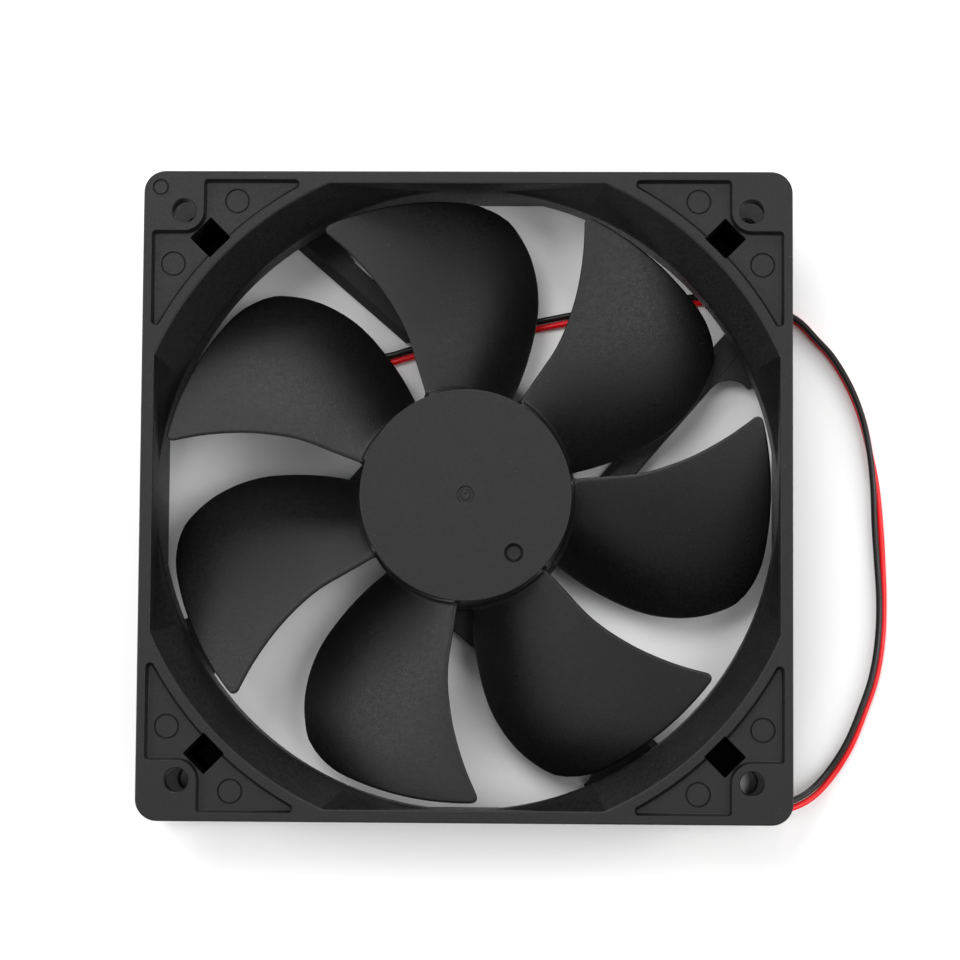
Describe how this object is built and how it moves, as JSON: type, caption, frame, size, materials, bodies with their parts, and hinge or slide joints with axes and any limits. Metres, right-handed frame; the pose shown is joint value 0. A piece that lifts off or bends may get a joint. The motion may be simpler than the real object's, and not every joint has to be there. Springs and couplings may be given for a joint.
{
  "type": "case fan",
  "caption": "Square open-flange axial case fan with swept impeller blades, a brushless hub motor on four tangential struts, and a free pair of leads ending in a small plug.",
  "frame": {"origin": "centre of the square frame on its back face, the face on the strut side", "axes": "+Z along the impeller's axis from the back face towards the open front face; +X and +Y parallel to the frame's sides, the leads leaving over the +X side"},
  "size_m": [0.1394, 0.12, 0.025],
  "materials": {
    "frame_plastic": "fine spark-eroded grain, satin",
    "impeller_plastic": "fine spark-eroded grain, satin",
    "yoke_steel": "drawn, passivated",
    "ferrite": "bonded ferrite, dull",
    "brass": "turned",
    "bronze": "sintered, oil-soaked",
    "shaft_steel": "ground",
    "nylon_white": "natural nylon",
    "felt": "oiled felt",
    "rubber_black": "moulded",
    "label_foil": "satin silver film with no print",
    "core_steel": "stacked laminations",
    "copper_wire": "enamelled copper winding",
    "board_green": "solder mask",
    "tin_plate": "tin plated",
    "chip_black": "moulded epoxy",
    "ceramic_tan": "ceramic chip",
    "wire_black": "vinyl insulation",
    "wire_red": "vinyl insulation"
  },
  "bodies": {
    "housing": {"frame": "frame_plastic", "bearing_tube": "brass", "sleeve_bearing": "bronze", "thrust_washer": "nylon_white", "felt_washer": "felt", "bearing_plug": "rubber_black", "rating_label": "label_foil", "stator_core": "core_steel", "lower_bobbin": "nylon_white", "upper_bobbin": "nylon_white", "coil_1": "copper_wire", "coil_2": "copper_wire", "coil_3": "copper_wire", "coil_4": "copper_wire", "circuit_board": "board_green", "winding_pin_1": "tin_plate", "winding_pin_2": "tin_plate", "winding_pin_3": "tin_plate", "hall_sensor": "chip_black", "driver_chip": "chip_black", "capacitor": "ceramic_tan", "diode": "chip_black", "lead_black": "wire_black", "lead_red": "wire_red", "plug_housing": "nylon_white", "crimp_terminal_black": "tin_plate", "crimp_terminal_red": "tin_plate"},
    "rotor": {"impeller": "impeller_plastic", "rotor_yoke": "yoke_steel", "magnet_ring": "ferrite", "shaft_bush": "brass", "shaft": "shaft_steel", "retaining_clip": "nylon_white", "slinger_washer": "nylon_white"}
  },
  "joints": [
    {"name": "rotor_spin", "type": "hinge", "parent": "housing", "child": "rotor", "pos_m": [0, 0, 0], "axis": [0, 0, 1], "continuous": true}
  ]
}
